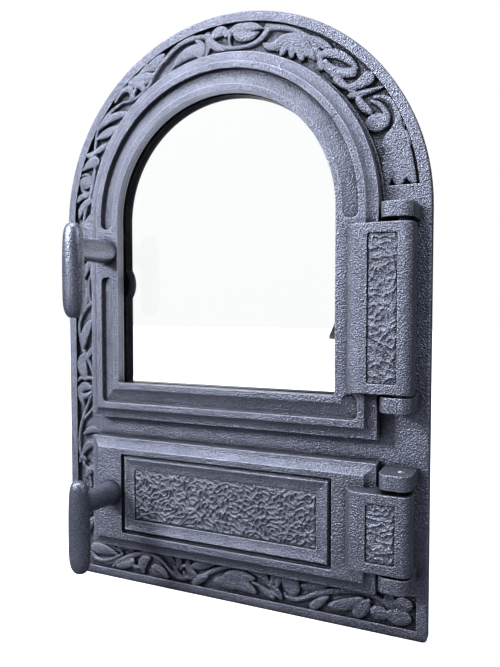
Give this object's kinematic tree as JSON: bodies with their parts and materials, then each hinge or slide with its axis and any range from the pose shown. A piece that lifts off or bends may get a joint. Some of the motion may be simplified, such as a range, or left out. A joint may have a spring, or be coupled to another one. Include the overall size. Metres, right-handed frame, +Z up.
{
  "type": "glass stove door",
  "caption": "Arched cast-iron stove front with a vine border, a hinged glass door, a hinged ash door below it, and a turning latch handle on each.",
  "frame": {"origin": "middle of the front plate's bottom edge, on the flat back of the plate where it seats against the stove", "axes": "+Z up, -Y out of the stove towards the viewer, +X to the hinge side; the back of the plate lies in the plane Y = 0"},
  "size_m": [0.33, 0.0991, 0.4879],
  "materials": {
    "cast_iron": "grained casting, worn dark grey",
    "steel": "dull plated steel",
    "rope": "braided glass-fibre rope",
    "glass": "clear heat-proof pane"
  },
  "bodies": {
    "frame": {"frame": "cast_iron", "upper_hinge_pin": "steel", "lower_hinge_pin": "steel", "upper_hinge_washer": "steel", "lower_hinge_washer": "steel"},
    "upper_door": {"upper_door": "cast_iron", "upper_door_rope": "rope", "glass_pane": "glass", "glass_rope": "rope", "glass_ring": "steel", "ring_screws": "steel", "glass_clip": "steel", "clip_screw": "steel"},
    "upper_handle": {"upper_handle": "cast_iron", "upper_latch": "steel", "upper_spindle_washer": "steel", "upper_spindle_nut": "steel"},
    "lower_door": {"lower_door": "cast_iron", "lower_door_rope": "rope"},
    "lower_handle": {"lower_handle": "cast_iron", "lower_latch": "steel", "lower_spindle_washer": "steel", "lower_spindle_nut": "steel"}
  },
  "joints": [
    {"name": "upper_door_hinge", "type": "hinge", "parent": "frame", "child": "upper_door", "pos_m": [0.148, -0.022, 0.2486], "axis": [0, 0, 1], "range_deg": [0, 120]},
    {"name": "upper_handle_turn", "type": "hinge", "parent": "upper_door", "child": "upper_handle", "pos_m": [-0.1095, -0.0235, 0.297], "axis": [0, 1, 0], "range_deg": [0, 90]},
    {"name": "lower_door_hinge", "type": "hinge", "parent": "frame", "child": "lower_door", "pos_m": [0.148, -0.022, 0.088], "axis": [0, 0, 1], "range_deg": [0, 120]},
    {"name": "lower_handle_turn", "type": "hinge", "parent": "lower_door", "child": "lower_handle", "pos_m": [-0.1065, -0.0235, 0.0855], "axis": [0, 1, 0], "range_deg": [0, 90]}
  ]
}
